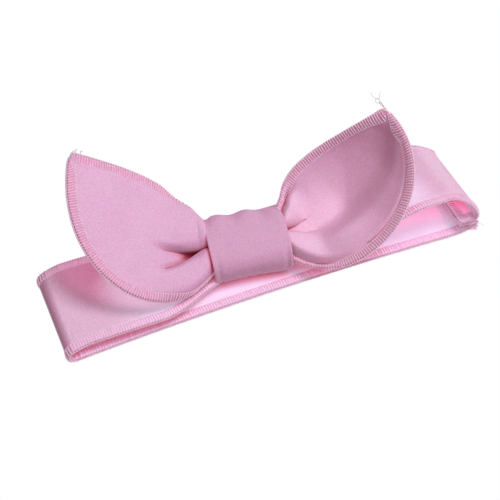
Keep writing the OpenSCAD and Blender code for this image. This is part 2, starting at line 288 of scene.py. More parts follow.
def looper_path(strip, rng, half_t):
    """The thread that wraps the edge in slanted rungs, as one long winding."""
    rung_slant = 0.72
    turns = int(strip.travel[-1] / STITCH_PITCH)
    k = np.repeat(np.arange(turns), len(LOOPER_TURN))
    share, e, d = (np.tile(c, turns) for c in LOOPER_TURN.T)
    wobble = np.repeat(rng.normal(0, 1, (turns, 2)), len(LOOPER_TURN), axis=0)
    s = (k + rung_slant * share + 0.06 * wobble[:, 0]) * STITCH_PITCH
    e = e * (1 + 0.02 * wobble[:, 1])
    d = d * (half_t / HALF_T)
    return strip.at(s, e, d), LOOPER_R, strip.tangent(s)


def stitch_count(strip, samples):
    """Places along an edge counted in stitches, so many samples to each."""
    turns = int(strip.travel[-1] / STITCH_PITCH)
    return np.arange(turns * samples) / samples


def chain_path(strip, rng, half_t):
    """The locked loops that run along the very edge, as a thread swinging from face to face."""
    f = stitch_count(strip, 8)
    swing = np.sin(2 * np.pi * f)
    s = (f + 0.16 * np.sin(4 * np.pi * f)) * STITCH_PITCH
    e = -0.30 - 0.22 * (1 - swing ** 2) + 0.05 * rng.normal(0, 1, len(f))
    reference = strip.tangent(s + 0.01) * 0.2 + strip.at(s, e, swing + 1) - strip.at(s, e, swing)
    return strip.at(s, e, swing * half_t * 0.72), CHAIN_R, reference


def needle_path(strip, face, half_t):
    """The row of straight stitches at the overlock's inner side, dipping into the cloth once a stitch."""
    f = stitch_count(strip, 7)
    dip = hill((f % 1 - 0.5) / 0.16)
    s = f * STITCH_PITCH
    e = OVERLOCK_W + 0.1 + 0.12 * np.cos(2 * np.pi * f)
    off_cloth = strip.at(s, e, half_t + 1.0 + 0 * s) - strip.at(s, e, half_t + 0 * s)
    return strip.at(s, e, face * (half_t + 0.02 - 0.45 * dip)), NEEDLE_R, off_cloth


def overlock_paths(strip, rng, half_t=HALF_T):
    """The four threads of an overlock: looper, chain, and a needle row on each face."""
    return [looper_path(strip, rng, half_t),
            chain_path(strip, rng, half_t),
            needle_path(strip, 1, half_t),
            needle_path(strip, -1, half_t)]


# ---------- the loop ----------
def arc(cx, cz, rx, rz, start, stop, steps):
    """x and z on a quarter or half ellipse, from start to stop degrees."""
    a = np.radians(np.linspace(start, stop, steps, endpoint=False))[:, None]
    return cx + rx * np.cos(a), cz + rz * np.sin(a)


def line(x0, z0, x1, z1, steps, last=False):
    """x and z on a straight run, with its last point or without."""
    t = np.linspace(0, 1, steps, endpoint=last)[:, None]
    return mix(x0, x1, t), mix(z0, z1, t)


def front_height(x, v):
    """Middle layer of the front half over its run, from the left fold to the right turn."""
    left = mix(HALF_T + 2 * span(FOLD_R, v), GATHERED_H, smooth((x - FOLD_X) / 80))
    right = mix(GATHERED_H, span(MOUTH_H, v), smooth((x - 28) / 62))
    return np.where(x < KNOT[0], left, right)


def loop_profile(v):
    """x and z of the middle layer all the way round, from the back's allowance to the front's."""
    r, seam, top, end = span(FOLD_R, v), span(SEAM_H, v), span(MOUTH_H, v), span(END_X, v)
    bend_x, free_x = end - SEAM_BEND, end - SEAM_BEND - ALLOWANCE
    low, high = seam - HALF_T - SEAM_BEND, seam + HALF_T + SEAM_BEND
    back_x = TURN_X - 3
    run_x = np.linspace(FOLD_X, TURN_X, 180, endpoint=False)[:, None] + 0 * v
    parts = [
        line(free_x, seam - HALF_T, bend_x, seam - HALF_T, 8),
        arc(bend_x, low, SEAM_BEND, SEAM_BEND, 90, 0, 6),
        arc(back_x, low, end - back_x, low - HALF_T, 360, 270, 18),
        line(back_x + 0 * v, HALF_T + 0 * v, FOLD_X + 0 * v, HALF_T + 0 * v, 150),
        arc(FOLD_X, HALF_T + r, r, r, 270, 90, 30),
        (run_x, front_height(run_x, v)),
        arc(TURN_X, high, end - TURN_X, top - high, 90, 0, 26),
        arc(bend_x, high, SEAM_BEND, SEAM_BEND, 0, -90, 6),
        line(bend_x, seam + HALF_T, free_x, seam + HALF_T, 8, last=True)]
    counts = [len(p[0]) for p in parts]
    kind = np.repeat(["tuck", "tuck", "back", "back", "fold", "front", "turn", "tuck", "tuck"], counts)
    x = np.concatenate([p[0] + 0 * v for p in parts])
    z = np.concatenate([p[1] + 0 * v for p in parts])
    return x, z, kind


def back_shift(x):
    """How far the back half's middle line lies to the far side."""
    return BACK_BOW * (0.68 - (x / -FOLD_X) ** 2)


def from_knot(x):
    """0 where the front half is gathered in the knot, 1 where it is flat."""
    return smooth((np.abs(x - KNOT[0]) + 4) / 60)


def front_shift(x):
    """How far the front half's middle line lies to the far side; it meets the back half's at the fold."""
    run = mix(FRONT_SHIFT[0], FRONT_SHIFT[1], smooth(x / 60))
    to_fold = smooth((4 - FOLD_X - np.abs(x)) / 14)
    in_knot = KNOT[1] + (x - KNOT[0]) * math.tan(BOW_YAW)
    return mix(in_knot, mix(back_shift(x), run, to_fold), from_knot(x))


def gathered_folds(x, v):
    """Height of the lengthwise folds that run out of the knot, and of a faint ripple over the flat cloth."""
    near_knot = 1 - smooth((np.abs(x - KNOT[0]) - 17) / 36)
    folds = np.cos(np.pi * (2.5 * v + 0.3)) * 2.1 * near_knot
    ripple = 0.35 * np.sin(x / 13 + 2.1 * v) * np.sin(x / 29 + 1) * from_knot(x)
    return folds + ripple * hill(x / 105)


def loop_middle(e):
    """Middle layer of the loop at distances e across it, -HALF_W to HALF_W: stations x columns x 3."""
    v = e / HALF_W
    x, z, kind = loop_profile(v)
    front = (kind == "front") | (kind == "turn")
    is_front = front[:, None] & np.ones_like(x, bool)
    above = is_front | ((kind == "fold")[:, None] & (z > HALF_T + span(FOLD_R, v)))
    half_w = np.where(is_front, mix(GATHERED_W, HALF_W, from_knot(x)), HALF_W)
    shift = np.where(above, front_shift(x), back_shift(x))
    y = shift + v * half_w
    z = z + np.where(is_front, gathered_folds(x, v), 0)
    return np.stack([x, y, z], -1)


def loop_cloth(material):
    """The band's cloth, right round the loop and turned in at both ends of the closing seam."""
    columns = edge_columns(2 * HALF_W, 44)
    middle = loop_middle(columns - HALF_W)
    normals = grid_normals(middle)
    depth = np.minimum(columns, 2 * HALF_W - columns)
    return sheet("loop_cloth", middle, normals, depth, material, flip=True)


def loop_overlock(name, side, material, rng):
    """Overlock along one long edge of the band, near (-1) or far (1)."""
    middle = loop_middle(side * (HALF_W - STRIP_DEPTHS))
    normals = grid_normals(middle) * -side
    return tubes(name, overlock_paths(Strip(middle, normals), rng), material)


def bend_with_loop(piece):
    """Bakes the piece's placement into its mesh."""
    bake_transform(piece)


# ---------- the bow's own frame ----------
def to_world(points, side=1):
    """Points from the bow's frame, where x runs out from the knot to one side, into the shared frame."""
    c, s = math.cos(BOW_YAW), math.sin(BOW_YAW)
    x, y, z = points[..., 0] * side, points[..., 1], points[..., 2]
    return np.stack([KNOT[0] + c * x - s * y, KNOT[1] + s * x + c * y, z], -1)


def turned(vectors, side=1):
    """Directions from the bow's frame into the shared frame."""
    return to_world(vectors, side) - to_world(np.zeros(3), side)


# ---------- knot ----------
def knot_section(angle, half_w, half_h):
    """y and z of the knot's section, between an ellipse and a rectangle."""
    power = 2 / 2.6
    c, s = np.cos(angle), np.sin(angle)
    return half_w * np.sign(c) * np.abs(c) ** power, half_h * np.sign(s) * np.abs(s) ** power


def wrap_outline():
    """x along the wrap and depth in from its outer face: along the outside, round one folded edge, back
    along the inside and round the other."""
    f = np.linspace(-1, 1, 70)
    lip = np.linspace(0, np.pi, 10)[1:-1]
    hem_r = KNOT_HEM_T / 2
    half_len = KNOT_LEN / 2 - hem_r
    x = np.concatenate([f * half_len, half_len + hem_r * np.sin(lip),
                        -f * half_len, -half_len - hem_r * np.sin(lip)])
    inset = np.concatenate([0 * f, hem_r * (1 - np.cos(lip)),
                            0 * f + KNOT_HEM_T, hem_r * (1 + np.cos(lip))])
    return x, inset


def wrap_wrinkles(x, angle, f, far_corner):
    """Height of the wrap's wrinkles: faint ones low in front, soft ones on top, and drawn-in far corners."""
    wrinkle = 0.25 * np.sin(x * 1.15 + 1.5 * np.sin(2 * angle)) * hill((angle - 3.6) / 0.9) * hill(f / 0.8)
    wrinkle += 0.85 * np.cos((x - 2.2) / 2.5) * hill((angle - 0.8) / 1.1)
    drawn_in = np.where(x > 0, 1.4, 0.3) * far_corner * hill((np.abs(f) - 1) / 0.45)
    wrinkle += 0.3 * np.sin(3 * angle + x / 9) - drawn_in
    return wrinkle


def knot_cloth(material):
    """The wrap: a folded strip round the bow's middle, its folded edges rounded."""
    turns = 220
    x, inset = wrap_outline()
    angle = np.arange(turns) * 2 * np.pi / turns
    x, angle = np.meshgrid(x, angle, indexing="ij")
    inset = np.broadcast_to(inset[:, None], x.shape)
    far_corner = hill((angle - 0.62) / 0.75)
    x = x * (1 - np.where(x > 0, 0.08, 0.0) * far_corner)
    f = x / (KNOT_LEN / 2)
    flare = 0.6 * f ** 2 - 0.6 - 0.7 * hill((np.abs(f) - 0.86) / 0.1)
    wrinkle = wrap_wrinkles(x, angle, f, far_corner)
    y, z = knot_section(angle, KNOT_W / 2 + flare - inset + wrinkle, KNOT_H / 2 - inset + wrinkle * 0.7)
    lean = 0.9 * np.sin(angle) * np.sign(f) * hill((np.abs(f) - 1) / 0.5)
    outside = 1 - inset / KNOT_HEM_T
    points = to_world(np.stack([x + lean * outside, y, KNOT[2] + z], -1))
    quads = grid_quads(*points.shape[:2], True, True)
    return make_piece("knot_cloth", points.reshape(-1, 3), quads.tolist(), material)


def knot_stitches(material):
    """Whip stitches that close the wrap under the knot."""
    half_row, pitch, half_stitch = 18, 2.4, 2.1
    z = knot_low[2] - 0.1
    rng = np.random.default_rng(5)
    paths = []
    for x in np.arange(-half_row, half_row + 0.1, pitch):
        t = np.linspace(-1, 1, 9)
        y = half_stitch * t + 0.2 * rng.normal()
        stitch = np.stack([x + 0.6 * t, y, z + 0.5 * t ** 2], -1)
        paths.append((to_world(stitch), 0.24, np.array([0, 0, 1.0])))
    return tubes("knot_closing_thread", paths, material)


def waist_cloth(material):
    """The gathered middle of the bow inside the knot, in deep pleats that fan out to the mouths."""
    rows, cols, pleats = 40, 180, 9
    half_len, half_w, half_h = 17.0, 11.4, 4.2
    f = np.linspace(-1, 1, rows)[:, None]
    a = np.linspace(0, 2 * np.pi, cols, endpoint=False)[None, :]
    flare = 1 + 0.16 * f ** 4
    pleat = 1 - 0.13 * (1 + np.cos(pleats * a + 0.8 * f)) * (0.7 + 0.3 * f ** 2)
    y = half_w * flare * pleat * np.cos(a)
    z = WAIST_Z + half_h * flare * pleat * np.sin(a)
    points = to_world(np.stack([f * half_len + 0 * y, y, z], -1))
    return make_piece("gathered_waist", points.reshape(-1, 3), ring_faces(rows, cols, flip=True), material)


def waist_thread(material):
    """Three winds of thread that hold the gathers."""
    a = np.linspace(0, 3 * 2 * np.pi, 160)
    wind = np.stack([mix(-2, 2, a / a[-1]), 11.3 * np.cos(a), WAIST_Z + 4.4 * np.sin(a)], -1)
    return tubes("gathering_thread", [(to_world(wind), 0.3, turned(np.array([1.0, 0, 0])))], material)


# ---------- ears ----------
OUTWARD = np.array([-0.44, -0.33, 0.84])    # the way an ear's front face looks, roughly
INTO_KNOT = np.array([-85.0, 0, -10])       # how a point moves as u falls by 1 below the mouth
TUCK = -0.12                                # the value of u where the cloth ends inside the knot


def past_mouth(u):
    """How far u is outside the knot's mouth: u far out, fading softly to 0 inside."""
    return soft_positive(u, 0.0009)


class Ear:
    """One ear in the bow's frame. u runs from the knot to the tip, t from the lower to the upper edge.

    lower and upper are the control points of its edges, crown is the height of its middle, and section
    gives the cloth's further movement across and off that plain surface.
    """

    def __init__(self, side, end, crown, section, lower, upper):
        self.side = side
        self.end = end
        self.crown = crown
        self.section = section
        self.lower = lower
        self.upper = upper

    def width(self, u):
        """Straight width of the ear at u."""
        u = past_mouth(u)
        return np.linalg.norm(cubic(self.upper, u) - cubic(self.lower, u), axis=-1)

    def base(self, u, t):
        """The two edges joined, crowned in the middle, running into the knot below u = 0."""
        out = past_mouth(u)
        rise = self.crown * smooth(4 * out) * smooth(3 * (1 - out))
        p = mix(cubic(self.lower, out), cubic(self.upper, out), t[..., None])
        p = p + (4 * t * (1 - t) * rise)[..., None] * OUTWARD
        p[..., 0] -= 2.4 * (1 - smooth(out / 0.12))
        return p + (out - u)[..., None] * INTO_KNOT

    def surface(self, u, t):
        """The cloth's middle layer. The way up from it is taken no nearer the knot than u = 0.07, and
        beside the mouth it doesn't lean along the bow."""
        step = 0.004
        base = self.base(u, t)
        ahead = 0.07 + soft_positive(u - 0.07, 0.004)
        du = self.base(ahead + step, t) - self.base(ahead - step, t)
        across = unit(self.base(u, t + step) - self.base(u, t - step))
        lift = unit(np.cross(du, across))
        lift[..., 0] *= smooth((u + 0.02) / 0.2)
        aside, rise = self.section(self, u, t)
        return base + across * aside[..., None] + lift * rise[..., None]

    def normal(self, u, t):
        """Unit normals of the middle layer."""
        step = 0.003
        du = self.surface(u + step, t) - self.surface(u - step, t)
        dt = self.surface(u, t + step) - self.surface(u, t - step)
        return unit(np.cross(du, dt))

    def placed(self, u, t):
        """Points and normals of the middle layer in the shared frame."""
        return to_world(self.surface(u, t), self.side), turned(self.normal(u, t), self.side)

    def point(self, u, t):
        """One point of the middle layer in the shared frame."""
        return self.placed(np.array([u]), np.array([t]))[0][0]

    def slant(self, u, edge):
        """For each station on an edge (0 lower, 1 upper): sine of the angle between the line across the ear
        and the edge there, and how much u falls per millimetre of that line to stay square to the edge."""
        step = 0.004
        edge_t = edge + 0 * u
        along = (self.surface(u + step, edge_t) - self.surface(u - step, edge_t)) / (2 * step)
        inward = unit(self.surface(u, edge_t + (1 - 2 * edge) * step) - self.surface(u, edge_t))
        stretch = np.linalg.norm(along, axis=-1)
        cosine = np.sum(along * inward, axis=-1) / stretch
        return np.sqrt(np.clip(1 - cosine ** 2, 0.1, 1)), cosine / stretch

    def travel(self, u):
        """Values of t and, for each station u, the way over the cloth from the lower edge to them."""
        t = np.linspace(0, 1, 241)
        grid_u, grid_t = np.meshgrid(u, t, indexing="ij")
        steps = np.linalg.norm(np.diff(self.surface(grid_u, grid_t), axis=1), axis=-1)
        return t, np.concatenate([0 * u[:, None], np.cumsum(steps, axis=1)], axis=1)


def lobe(q, inner, outer, height, start, stop):
    """Section of a rounded lobe from its crease (q = 0) to the edge (q = 1): place across, and height."""
    angle = np.radians(mix(start, stop, q))
    return mix(inner, outer, (1 + np.cos(angle)) / 2), height * (np.sin(angle) + 0.3)


def two_lobes(ear, u, t, upper_t, lower_t, upper, lower):
    """Gathered section with a lobe above upper_t and one below lower_t, each a height and two angles.
    It gives the way across, the height, and a share that is 1 midway between the lobes and 0 on them."""
    width = ear.width(u)
    upper_q = np.clip((t - upper_t) / (1 - upper_t), 0, 1)
    lower_q = np.clip((lower_t - t) / lower_t, 0, 1)
    upper_w, upper_h = lobe(upper_q, (upper_t - 0.5) * width, 0.5 * width, *upper)
    lower_w, lower_h = lobe(lower_q, (lower_t - 0.5) * width, -0.5 * width, *lower)
    between = np.clip((t - lower_t) / (upper_t - lower_t), 0, 1)
    aside = mix(lower_w, upper_w, between) - (t - 0.5) * width
    return aside, mix(lower_h, upper_h, between), 4 * between * (1 - between)


def left_section(ear, u, t):
    """Two full lobes either side of a deep pleat at the knot, which parts into two creases further out."""
    out = past_mouth(u)
    near = np.minimum(out, 0.5)
    upper_t = 0.515 - 0.25 * near
    lower_t = 0.485 - 0.62 * near
    aside, rise, between = two_lobes(ear, u, t, upper_t, lower_t, (6.3, 224, -38), (5.8, 216, -30))
    pleat = -4 * between * (1 - smooth((out - 0.05) / 0.3))
    pleat -= 3.0 * hill((t - upper_t - 0.015) / 0.1) * hill((out - 0.25) / 0.24)
    pleat -= 2.4 * hill((t - lower_t + 0.01) / 0.08) * hill((out - 0.22) / 0.2)
    sway = 1.4 * np.sin(5 * u + 1.0) * np.sin(3 * t + 0.4) * smooth(3 * u)
    gather = 1 - smooth((out - 0.01) / 0.42)
    drawn = 1 - 0.62 * smooth((0.045 - u) / 0.09)
    return aside * gather * drawn, (rise * gather + pleat) * drawn + sway


def right_valley(u, t):
    """Depth of the cup: a valley along a line from u = 0.1 at the lower edge to u = 0.69 at the upper one.
    past is how far a point is beyond that line."""
    past = u - (0.69 - (1 - t) / 1.7)
    reach = np.where(past < 0, 0.34, np.maximum(0.99 - u + past, 0.05))
    share = np.clip(1.03 - np.sqrt(past ** 2 + 0.0009) / reach, 0, 1)
    depth = 9.6 * (0.5 * share + 0.5 * smooth(share)) * np.clip(4.2 * t * (1 - t), 0, 1)
    depth = depth * (0.1 + 0.9 * smooth((t - 0.26) / 0.3))
    return depth * smooth((0.985 - u) / 0.16) * smooth((u - 0.11) / 0.34)


def right_creases(from_lower, from_upper, out):
    """Depth of the two short creases that run out of the knot, beside the lower and the upper lobe."""
    lower = 4.2 * hill((1.3 * from_lower - 5.5) / 4) * (1 - smooth((out - 0.14) / 0.2))
    upper = 4.6 * hill((1.3 * from_upper - 7) / 4) * (1 - smooth((out - 0.12) / 0.2))
    return lower + upper


def right_rim(from_lower, u):
    """Height of the roll just inside the lower edge, with the groove behind it."""
    roll = 0.5 * hill((from_lower - 3) / 2) - 2.2 * hill((from_lower - 5.5) / 1.4)
    return roll * smooth((u - 0.35) / 0.15) * smooth((0.95 - u) / 0.2)


def right_section(ear, u, t):
    """A deep cup: two lobes and two short creases at the knot, a valley slanting up, and a rolled rim."""
    out = past_mouth(u)
    lower_t = 0.5 - 0.25 * np.minimum(out, 0.5)
    aside, rise, between = two_lobes(ear, u, t, 0.6, lower_t, (5.2, 205, -17), (5.4, 205, -17))
    gather = 1 - smooth((out - 0.01) / 0.3)
    drawn = 1 - 0.6 * smooth((0.02 - u) / 0.08)
    from_lower = t * ear.width(u)
    from_upper = (1 - t) * ear.width(u)
    rise = rise * gather + 0.6 * between * gather - right_creases(from_lower, from_upper, out)
    swell = 5.0 * hill((t - 0.25) / 0.26) * hill((u - 0.30) / 0.25)
    return aside * gather * drawn, rise * drawn - right_valley(u, t) + swell + right_rim(from_lower, u)


# Each edge is a cubic curve of four control points, from the knot's mouth to the tip, in the bow's frame
LEFT_EAR = Ear(side=-1, end=0.978, crown=2, section=left_section,
               lower=[(23, -12, 12.6), (46, -47.5, 5.3), (106.5, -27, 50), (83, 41, 62.8)],
               upper=[(23, 12.3, 17.8), (28, 42.3, 21.8), (59.7, 38.3, 47.6), (83, 41, 62.8)])
RIGHT_EAR = Ear(side=1, end=0.985, crown=-7, section=right_section,
                lower=[(23.3, -11.8, 12.7), (42, -45, 5.6), (111.7, -22.2, 53), (82.5, 37.5, 60)],
                upper=[(23, 12.7, 18), (20, 43.3, 21.6), (59.7, 35.4, 45.5), (82.5, 37.5, 60)])


def ear_stations(ear, count):
    """Values of u, closer together at the knot, from inside it to the tip."""
    inside = np.linspace(TUCK, 0, 16, endpoint=False)
    return np.concatenate([inside, ear.end * np.linspace(0, 1, count) ** 1.25])


def ear_columns(ear, u, travel):
    """Ways over the cloth from the lower edge, and depths in from the nearer edge, for each station. Near an
    edge the ways are lengthened where the line across meets it aslant, so a column keeps its depth."""
    length = travel[:, -1:]
    columns = edge_columns(travel[:, -1], 80)
    share = np.linspace(0, 1, columns.shape[1])
    squareness = mix(ear.slant(u, 0)[0][:, None], ear.slant(u, 1)[0][:, None], smooth(3 * share - 1))
    near_edge = np.minimum(columns, length - columns)
    widened = near_edge * mix(1 / squareness, 1, smooth(near_edge / (0.4 * length)))
    return np.where(share < 0.5, widened, length - widened), widened * squareness


def ear_cloth(name, ear, material):
    """An ear's double cloth, from its end inside the knot to its tip."""
    u = ear_stations(ear, 130)
    t, travel = ear.travel(u)
    way_in, depth = ear_columns(ear, u, travel)
    grid_t = np.stack([np.interp(d, way, t) for d, way in zip(way_in, travel)])
    grid_u = np.broadcast_to(u[:, None], grid_t.shape)
    middle, normals = ear.placed(grid_u, grid_t)
    return sheet(name, middle, normals, depth, material, puff=0.35, flip=ear.side > 0)


def ear_strip(ear, edge):
    """The cloth along one edge of an ear, 0 lower or 1 upper, measured square to that edge."""
    u = ear_stations(ear, 120)[8:]
    t, travel = ear.travel(u)
    length = travel[:, -1:]
    sine, fall = ear.slant(u, edge)
    inward = np.minimum(STRIP_DEPTHS / sine[:, None], 0.42 * length)
    way_in = mix(inward, length - inward, edge)
    grid_t = np.stack([np.interp(d, way, t) for d, way in zip(way_in, travel)])
    grid_u = u[:, None] - inward * fall[:, None]
    return Strip(*ear.placed(grid_u, grid_t))


def ear_overlock(name, ear, material, rng):
    """Overlock along an ear's lower and upper edge."""
    paths = [path for edge in (0, 1) for path in overlock_paths(ear_strip(ear, edge), rng)]
    return tubes(name, paths, material)


def bend_with_ear(piece):
    """Bakes the piece's placement into its mesh."""
    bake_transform(piece)


# ---------- the closing seam and loose threads ----------
def seam_overlock(material, rng):
    """Overlock over both allowances together, on their free edge inside the loop's end."""
    v = np.linspace(-0.97, 0.97, 70)
    free_x = span(END_X, v) - SEAM_BEND - ALLOWANCE
    x, along = np.meshgrid(STRIP_DEPTHS, v)
    x = x + free_x[:, None]
    points = np.stack([x, back_shift(x) + along * HALF_W, span(SEAM_H, along)], -1)
    normals = np.zeros_like(points)
    normals[..., 2] = 1
    paths = overlock_paths(Strip(points, normals), rng, half_t=CLOTH_T)
    return tubes("closing_seam_overlock_thread", paths, material)


def soft_path(corners, f):
    """Smooth path near a row of corner points; f counts corners."""
    corners = np.asarray(corners, float)
    i = np.clip(f.astype(int), 0, len(corners) - 2)
    g = (f - i)[:, None]
    before = corners[np.maximum(i - 1, 0)]
    after = corners[np.minimum(i + 2, len(corners) - 1)]
    a, b = corners[i], corners[i + 1]
    slope_a, slope_b = (b - before) / 2, (after - a) / 2
    h = g * g * (3 - 2 * g)
    return mix(a, b, h) + g * (1 - g) ** 2 * slope_a - g * g * (1 - g) * slope_b


def thread_tail(corners, radius):
    """A loose thread along some corner points, thinner at its end."""
    f = np.linspace(0, len(corners) - 1, 8 * len(corners))
    thin = radius * (1 - 0.5 * smooth(f / (len(corners) - 1) * 4 - 3))
    return soft_path(corners, f), thin, np.array([0.3, 0.2, 1.0])


def seam_tail(material, rng):
    """Cut end of the closing overlock: a bunch of short loops and one stray thread."""
    centre = np.array([END_X[0] - 1.5, back_shift(END_X[0]) - HALF_W + 1.0, 5.2])
    reach, knots = (2.6, 2.6, 4.2), 7
    paths = []
    for _ in range(9):
        corners = centre + rng.uniform(-1, 1, (knots, 3)) * reach
        tangle = soft_path(corners, np.linspace(0, knots - 1, knots * 7))
        paths.append((tangle, 0.2, np.array([0.2, 0.3, 1.0])))
    stray = centre + np.array([(0, 0, 0), (2, -1, 1), (4.2, -1.5, 0), (6.3, -3.2, -1.2)])
    paths.append(thread_tail(stray, 0.13))
    return tubes("closing_seam_thread_tail_loops", paths, material)


def tip_place(ear):
    """Tip of an ear and the directions from it along the ear, over to the upper edge and off the cloth."""
    tip, normal = ear.placed(np.array([ear.end]), np.array([0.5]))
    out = unit(tip[0] - ear.point(ear.end - 0.05, 0.5))
    up = unit(ear.point(ear.end, 0.98) - tip[0])
    return tip[0], out, up, normal[0]


def left_tip_fuzz(material, rng):
    """Short fibres of the cut corner and the cut ends of its overlock."""
    ear = LEFT_EAR
    out, up, off = tip_place(ear)[1:]
    paths = []
    for share in np.linspace(0, 1, 36):
        root = ear.point(ear.end - 0.003, share) + off * rng.uniform(-0.9, 0.9)
        lean = out * rng.uniform(0.5, 1.5) + up * rng.uniform(-0.9, 0.9) + off * rng.uniform(-0.6, 0.6)
        bend = up * rng.uniform(-0.5, 0.5)
        paths.append(thread_tail([root, root + 0.6 * lean + bend, root + 1.2 * lean - 0.4 * bend], 0.13))
    for u in (0.965, 0.93):
        root = ear.point(u, 1.0)
        loop = [root, root + out * 1.0 + up * 0.6, root + out * 1.3 + up * 1.5, root + out * 0.2 + up * 2.0]
        paths.append(thread_tail(loop, 0.2))
    return tubes("left_tip_fuzz", paths, material)


def right_tip_chain(material):
    """The chain left by the overlock machine: two strands twisted to a small ring, with two loose ends."""
    chain_len, twists = 5.6, 2.5
    tip, out, up, off = tip_place(RIGHT_EAR)
    along = unit(out * 0.75 + up * 0.75)
    aside = unit(np.cross(off, along))
    f = np.linspace(0, 1, 40)[:, None]
    paths = []
    for start in (0, np.pi):
        twist = 2 * np.pi * twists * f + start
        swing = 0.45 * np.sin(twist) * aside + 0.3 * np.cos(twist) * off
        paths.append((tip + along * chain_len * f + swing, 0.17, off))
    centre = tip + along * 6.8 + aside * 0.4
    ring = np.linspace(0, 2 * np.pi, 30)[:, None]
    paths.append((centre + 1.3 * np.cos(ring) * along + 1.2 * np.sin(ring) * aside, 0.13, off))
    loose_ends = ((centre + along, ((0, 0), (2.4, 0.6), (5.0, 0.2))),
                  (centre - aside * 0.6, ((0, 0), (1.6, -2.0), (2.9, -3.6))))
    for root, steps in loose_ends:
        corners = [root + along * a + aside * b for a, b in steps]
        paths.append(thread_tail(corners, 0.11))
    return tubes("right_tip_chain", paths, material)


# ---------- materials ----------
KEY_LIGHT = (69, 68)        # azimuth and elevation in degrees
CREASE_REACH = 0.006        # how far away, in metres, other cloth still darkens a crease in the painted crease shade
INSIDE_REACH = 0.03         # and how far it still brings painted shade and painted glow close to other cloth

# Stops of the colour ramps: position and colour
WHITE = (1, 1, 1)
# Painted shade in creases, by how closely other cloth closes in
PAINTED_CREASE_SHADE_STOPS = [(0.05, (0.38, 0.03, 0.08)), (0.3, (0.84, 0.32, 0.42)), (0.5, (1, 0.76, 0.81)), (0.8, WHITE)]
# Painted shade where the cloth turns away from the key light
PAINTED_KEY_SHADE_STOPS = [(0.1, (0.62, 0.38, 0.45)), (0.5, (0.75, 0.56, 0.64)), (0.78, (0.88, 0.76, 0.83)),
               (0.91, WHITE)]
# Painted glow close to other cloth, standing in for light bounced between the cloths of the loop
PAINTED_GLOW_STOPS = [(0.04, (0.12, 0.0, 0.01)), (0.17, (0.20, 0.06, 0.12)), (0.36, (0.29, 0.34, 0.43)),
        (0.6, (0.20, 0.30, 0.34)), (0.85, (0, 0, 0))]
# Painted shade close to other cloth, for the loop and for the bow
LOOP_PAINTED_SHADE_STOPS = [(0.0, (0.86, 0.30, 0.38)), (0.25, (0.97, 0.66, 0.76)), (0.5, (1, 0.94, 0.97)), (0.7, WHITE)]
BOW_PAINTED_SHADE_STOPS = [(0.0, (0.62, 0.18, 0.20)), (0.4, (0.85, 0.52, 0.54)), (0.65, (0.98, 0.80, 0.82)), (0.88, WHITE)]

CREPE_FINISH = {"Roughness": 0.82, "Specular IOR Level": 0.25,
                "Sheen Weight": 0.12, "Sheen Roughness": 0.45, "Sheen Tint": (1, 0.9, 0.97, 1),
                "Subsurface Weight": 0.25, "Subsurface Radius": (1.0, 0.28, 0.42),
                "Subsurface Scale": 0.0016}
# Finish of the thread, with a faint painted glow (Emission Strength)
YARN_FINISH_AND_GLOW = {"Roughness": 0.75, "Sheen Weight": 0.4, "Emission Strength": 0.12,
               "Subsurface Weight": 0.2, "Subsurface Radius": (1.0, 0.35, 0.5),
               "Subsurface Scale": 0.0006}


def direction(azimuth, elevation):
    """Unit vector towards a place at these degrees: azimuth 0 is in front, 90 at the right."""
    a, e = math.radians(azimuth), math.radians(elevation)
    return Vector((math.sin(a) * math.cos(e), -math.cos(a) * math.cos(e), math.sin(e)))


def new_material(name):
    """A material with its node tree, its shader, and places in metres as coordinates."""
    material = bpy.data.materials.new(name)
    material.use_nodes = True
    tree = material.node_tree
    place = tree.nodes.new("ShaderNodeTexCoord").outputs["Object"]
    return material, tree, tree.nodes["Principled BSDF"], place


def set_inputs(node, values):
    for name, value in values.items():
        node.inputs[name].default_value = value


def noise(tree, coordinates, scale, detail=3.0, roughness=0.55):
    node = tree.nodes.new("ShaderNodeTexNoise")
    set_inputs(node, {"Scale": scale, "Detail": detail, "Roughness": roughness})
    tree.links.new(coordinates, node.inputs["Vector"])
    return node.outputs["Fac"]


def ramp(tree, value, stops):
    node = tree.nodes.new("ShaderNodeValToRGB")
    ramp_stops = node.color_ramp.elements
    while len(ramp_stops) < len(stops):
        ramp_stops.new(0.5)
    for stop, (position, colour) in zip(ramp_stops, stops):
        stop.position = position
        stop.color = (*colour, 1)
    tree.links.new(value, node.inputs["Fac"])
    return node.outputs["Color"]


def blended(tree, kind, factor, a, b):
    """Colour a blended with b; each value is a socket or a plain value."""
    node = tree.nodes.new("ShaderNodeMix")
    node.data_type = "RGBA"
    node.blend_type = kind
    for value, socket in ((factor, node.inputs[0]), (a, node.inputs[6]), (b, node.inputs[7])):
        if isinstance(value, bpy.types.NodeSocket):
            tree.links.new(value, socket)
        else:
            socket.default_value = value
    return node.outputs[2]


def add_bump(tree, shader, height, strength, distance):
    bump = tree.nodes.new("ShaderNodeBump")
    set_inputs(bump, {"Strength": strength, "Distance": distance})
    tree.links.new(height, bump.inputs["Height"])
    tree.links.new(bump.outputs["Normal"], shader.inputs["Normal"])


def swap_for_rays(material, kind, other_shader):
    """Rays of one kind meet another shader in place of the material's own."""
    tree = material.node_tree
    path = tree.nodes.new("ShaderNodeLightPath")
    both = tree.nodes.new("ShaderNodeMixShader")
    tree.links.new(path.outputs[kind], both.inputs["Fac"])
    tree.links.new(tree.nodes["Principled BSDF"].outputs["BSDF"], both.inputs[1])
    tree.links.new(other_shader, both.inputs[2])
    tree.links.new(both.outputs["Shader"], tree.nodes["Material Output"].inputs["Surface"])


def occlusion(tree, reach):
    """1 in the open, falling to 0 where other cloth within reach, in metres, closes in."""
    node = tree.nodes.new("ShaderNodeAmbientOcclusion")
    node.samples = 8
    node.inputs["Distance"].default_value = reach
    return node.outputs["AO"]


